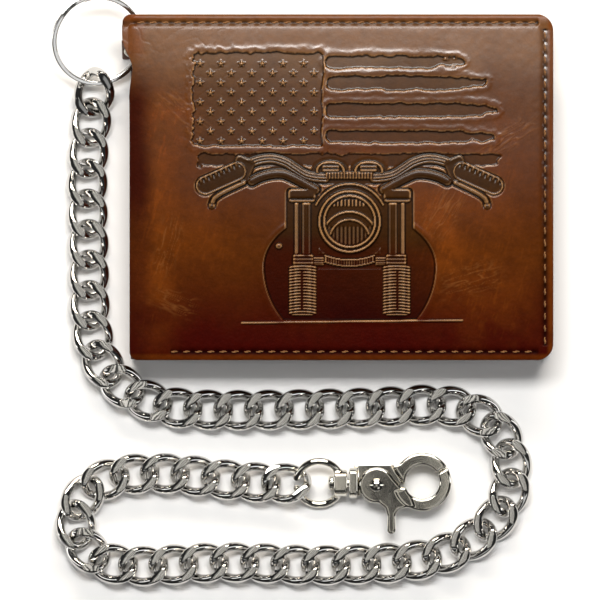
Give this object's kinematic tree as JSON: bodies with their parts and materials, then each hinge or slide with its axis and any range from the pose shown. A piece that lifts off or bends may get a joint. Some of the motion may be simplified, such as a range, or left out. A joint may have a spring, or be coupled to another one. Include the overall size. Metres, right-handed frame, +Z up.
{
  "type": "chain wallet",
  "caption": "Closed leather bifold wallet with an embossed front, card pockets and an ID flap, on a curb chain with a split ring and a swivel trigger clasp.",
  "frame": {"origin": "centre of the rear cover's resting face", "axes": "+X from the fold to the open edge, +Y along the fold towards the chain's corner, +Z up through the closed wallet"},
  "size_m": [0.1358, 0.1607, 0.0148],
  "materials": {
    "outer_leather": "glossy, worn, embossed",
    "inner_leather": "satin",
    "lining": "matt twill",
    "thread": "waxed",
    "window": "clear film",
    "nickel": "polished"
  },
  "bodies": {
    "rear_half": {"rear_outer_cover": "outer_leather", "rear_bill_lining": "lining", "bill_divider": "lining", "rear_edge_strip": "inner_leather", "rear_inner_panel": "inner_leather", "rear_card_pocket_1": "inner_leather", "rear_card_pocket_2": "inner_leather", "rear_card_pocket_3": "inner_leather", "spine_leather_rear": "outer_leather", "chain_tab": "outer_leather", "eyelet": "nickel", "eyelet_washer": "nickel"},
    "front_half": {"front_outer_cover": "outer_leather", "front_bill_lining": "lining", "front_edge_strip": "inner_leather", "front_inner_panel": "inner_leather", "front_card_pocket_1": "inner_leather", "front_card_pocket_2": "inner_leather", "front_card_pocket_3": "inner_leather", "spine_leather_front": "outer_leather", "seam_thread": "thread"},
    "id_flap": {"id_flap_panel": "inner_leather", "id_flap_frame": "inner_leather", "id_window": "window"},
    "split_ring": {"split_ring": "nickel"},
    "chain_01_02": {"chain_links_01_02": "nickel"},
    "chain_03_04": {"chain_links_03_04": "nickel"},
    "chain_05_06": {"chain_links_05_06": "nickel"},
    "chain_07_08": {"chain_links_07_08": "nickel"},
    "chain_09_10": {"chain_links_09_10": "nickel"},
    "chain_11_12": {"chain_links_11_12": "nickel"},
    "chain_13_14": {"chain_links_13_14": "nickel"},
    "chain_15_16": {"chain_links_15_16": "nickel"},
    "chain_17_18": {"chain_links_17_18": "nickel"},
    "chain_19_20": {"chain_links_19_20": "nickel"},
    "chain_21_22": {"chain_links_21_22": "nickel"},
    "chain_23_24": {"chain_links_23_24": "nickel"},
    "chain_25_26": {"chain_links_25_26": "nickel"},
    "chain_27_28": {"chain_links_27_28": "nickel"},
    "chain_29_30": {"chain_links_29_30": "nickel"},
    "chain_31_32": {"chain_links_31_32": "nickel"},
    "chain_33_34": {"chain_links_33_34": "nickel"},
    "chain_35_36": {"chain_links_35_36": "nickel"},
    "chain_37_38": {"chain_links_37_38": "nickel"},
    "chain_39_40": {"chain_links_39_40": "nickel"},
    "chain_41_42": {"chain_links_41_42": "nickel"},
    "chain_43_44": {"chain_links_43_44": "nickel"},
    "chain_45_46": {"chain_links_45_46": "nickel"},
    "chain_47_48": {"chain_links_47_48": "nickel"},
    "chain_49_50": {"chain_links_49_50": "nickel"},
    "swivel_ring": {"swivel_ring": "nickel"},
    "clasp": {"clasp_body": "nickel", "swivel_stud": "nickel", "clasp_rivet": "nickel", "clasp_spring": "nickel"},
    "clasp_lever": {"clasp_lever": "nickel"}
  },
  "joints": [
    {"name": "cover_fold", "type": "hinge", "parent": "rear_half", "child": "front_half", "pos_m": [-0.0565, 0, 0.0131], "axis": [0, -1, 0], "range_deg": [0, 180]},
    {"name": "id_flap_fold", "type": "hinge", "parent": "front_half", "child": "id_flap", "pos_m": [-0.049, 0, 0.0078], "axis": [0, -1, 0], "range_deg": [-36, 0]},
    {"name": "split_ring_swing", "type": "hinge", "parent": "rear_half", "child": "split_ring", "pos_m": [-0.0545, 0.0375, 0.004], "axis": [1, 0, 0], "range_deg": [-30, 0]},
    {"name": "chain_01_02_hinge", "type": "hinge", "parent": "split_ring", "child": "chain_01_02", "pos_m": [-0.0664, 0.03, 0.0025], "axis": [0.991, -0.1336, 0], "range_deg": [-5, 5]},
    {"name": "chain_03_04_hinge", "type": "hinge", "parent": "chain_01_02", "child": "chain_03_04", "pos_m": [-0.0684, 0.01356, 0.0025], "axis": [-0.9964, 0.0846, 0], "range_deg": [-10, 10]},
    {"name": "chain_05_06_hinge", "type": "hinge", "parent": "chain_03_04", "child": "chain_05_06", "pos_m": [-0.06896, -0.00298, 0.0025], "axis": [0.9999, 0.0124, 0], "range_deg": [-10, 10]},
    {"name": "chain_07_08_hinge", "type": "hinge", "parent": "chain_05_06", "child": "chain_07_08", "pos_m": [-0.06855, -0.01954, 0.0025], "axis": [-0.9999, -0.0144, 0], "range_deg": [-10, 10]},
    {"name": "chain_09_10_hinge", "type": "hinge", "parent": "chain_07_08", "child": "chain_09_10", "pos_m": [-0.0682, -0.03609, 0.0025], "axis": [0.9946, 0.1042, 0], "range_deg": [-10, 10]},
    {"name": "chain_11_12_hinge", "type": "hinge", "parent": "chain_09_10", "child": "chain_11_12", "pos_m": [-0.06284, -0.05144, 0.0025], "axis": [-0.759, -0.6511, 0], "range_deg": [-10, 10]},
    {"name": "chain_13_14_hinge", "type": "hinge", "parent": "chain_11_12", "child": "chain_13_14", "pos_m": [-0.04856, -0.05937, 0.0025], "axis": [0.2347, 0.9721, 0], "range_deg": [-10, 10]},
    {"name": "chain_15_16_hinge", "type": "hinge", "parent": "chain_13_14", "child": "chain_15_16", "pos_m": [-0.03207, -0.06047, 0.0025], "axis": [-0.0107, -0.9999, 0], "range_deg": [-10, 10]},
    {"name": "chain_17_18_hinge", "type": "hinge", "parent": "chain_15_16", "child": "chain_17_18", "pos_m": [-0.01551, -0.06033, 0.0025], "axis": [-0.0165, 0.9999, 0], "range_deg": [-10, 10]},
    {"name": "chain_19_20_hinge", "type": "hinge", "parent": "chain_17_18", "child": "chain_19_20", "pos_m": [0.00105, -0.05997, 0.0025], "axis": [0.0252, -0.9997, 0], "range_deg": [-10, 10]},
    {"name": "chain_21_22_hinge", "type": "hinge", "parent": "chain_19_20", "child": "chain_21_22", "pos_m": [0.01759, -0.05925, 0.0025], "axis": [-0.0562, 0.9984, 0], "range_deg": [-10, 10]},
    {"name": "chain_23_24_hinge", "type": "hinge", "parent": "chain_21_22", "child": "chain_23_24", "pos_m": [0.03402, -0.06001, 0.0025], "axis": [-0.3033, -0.9529, 0], "range_deg": [-10, 10]},
    {"name": "chain_25_26_hinge", "type": "hinge", "parent": "chain_23_24", "child": "chain_25_26", "pos_m": [0.04553, -0.0708, 0.0025], "axis": [0.9408, 0.3391, 0], "range_deg": [-10, 10]},
    {"name": "chain_27_28_hinge", "type": "hinge", "parent": "chain_25_26", "child": "chain_27_28", "pos_m": [0.04449, -0.0868, 0.0025], "axis": [-0.884, 0.4675, 0], "range_deg": [-10, 10]},
    {"name": "chain_29_30_hinge", "type": "hinge", "parent": "chain_27_28", "child": "chain_29_30", "pos_m": [0.03245, -0.09785, 0.0025], "axis": [0.4556, -0.8902, 0], "range_deg": [-10, 10]},
    {"name": "chain_31_32_hinge", "type": "hinge", "parent": "chain_29_30", "child": "chain_31_32", "pos_m": [0.0165, -0.10186, 0.0025], "axis": [-0.0952, 0.9955, 0], "range_deg": [-10, 10]},
    {"name": "chain_33_34_hinge", "type": "hinge", "parent": "chain_31_32", "child": "chain_33_34", "pos_m": [-0.00005, -0.10247, 0.0025], "axis": [0.0246, -0.9997, 0], "range_deg": [-10, 10]},
    {"name": "chain_35_36_hinge", "type": "hinge", "parent": "chain_33_34", "child": "chain_35_36", "pos_m": [-0.0166, -0.10227, 0.0025], "axis": [0.0491, 0.9988, 0], "range_deg": [-10, 10]},
    {"name": "chain_37_38_hinge", "type": "hinge", "parent": "chain_35_36", "child": "chain_37_38", "pos_m": [-0.03315, -0.10181, 0.0025], "axis": [0.0161, -0.9999, 0], "range_deg": [-10, 10]},
    {"name": "chain_39_40_hinge", "type": "hinge", "parent": "chain_37_38", "child": "chain_39_40", "pos_m": [-0.04967, -0.10273, 0.0025], "axis": [-0.0482, 0.9988, 0], "range_deg": [-10, 10]},
    {"name": "chain_41_42_hinge", "type": "hinge", "parent": "chain_39_40", "child": "chain_41_42", "pos_m": [-0.06604, -0.10139, 0.0025], "axis": [-0.4698, -0.8828, 0], "range_deg": [-10, 10]},
    {"name": "chain_43_44_hinge", "type": "hinge", "parent": "chain_41_42", "child": "chain_43_44", "pos_m": [-0.07245, -0.08747, 0.0025], "axis": [0.9697, -0.2444, 0], "range_deg": [-10, 10]},
    {"name": "chain_45_46_hinge", "type": "hinge", "parent": "chain_43_44", "child": "chain_45_46", "pos_m": [-0.06031, -0.07798, 0.0025], "axis": [-0.1969, 0.9804, 0], "range_deg": [-10, 10]},
    {"name": "chain_47_48_hinge", "type": "hinge", "parent": "chain_45_46", "child": "chain_47_48", "pos_m": [-0.04377, -0.07776, 0.0025], "axis": [-0.0788, -0.9969, 0], "range_deg": [-10, 10]},
    {"name": "chain_49_50_hinge", "type": "hinge", "parent": "chain_47_48", "child": "chain_49_50", "pos_m": [-0.02734, -0.07976, 0.0025], "axis": [0.0902, 0.9959, 0], "range_deg": [-10, 10]},
    {"name": "end_ring_hinge", "type": "hinge", "parent": "chain_49_50", "child": "swivel_ring", "pos_m": [-0.0108, -0.0803, 0.0025], "axis": [0.0044, -1, 0], "range_deg": [-10, 10]},
    {"name": "clasp_swivel", "type": "hinge", "parent": "swivel_ring", "child": "clasp", "pos_m": [0, -0.0802, 0.003], "axis": [1, 0, 0], "continuous": true},
    {"name": "clasp_lever_pivot", "type": "hinge", "parent": "clasp", "child": "clasp_lever", "pos_m": [0.0096, -0.0808, 0.003], "axis": [0, 0, 1], "range_deg": [-25, 0], "stiffness_Nm_per_rad": 0.02, "springref_deg": 17.19}
  ],
  "couplings": [
    {"joint": "id_flap_fold", "follows": "cover_fold", "ratio": -0.2}
  ]
}
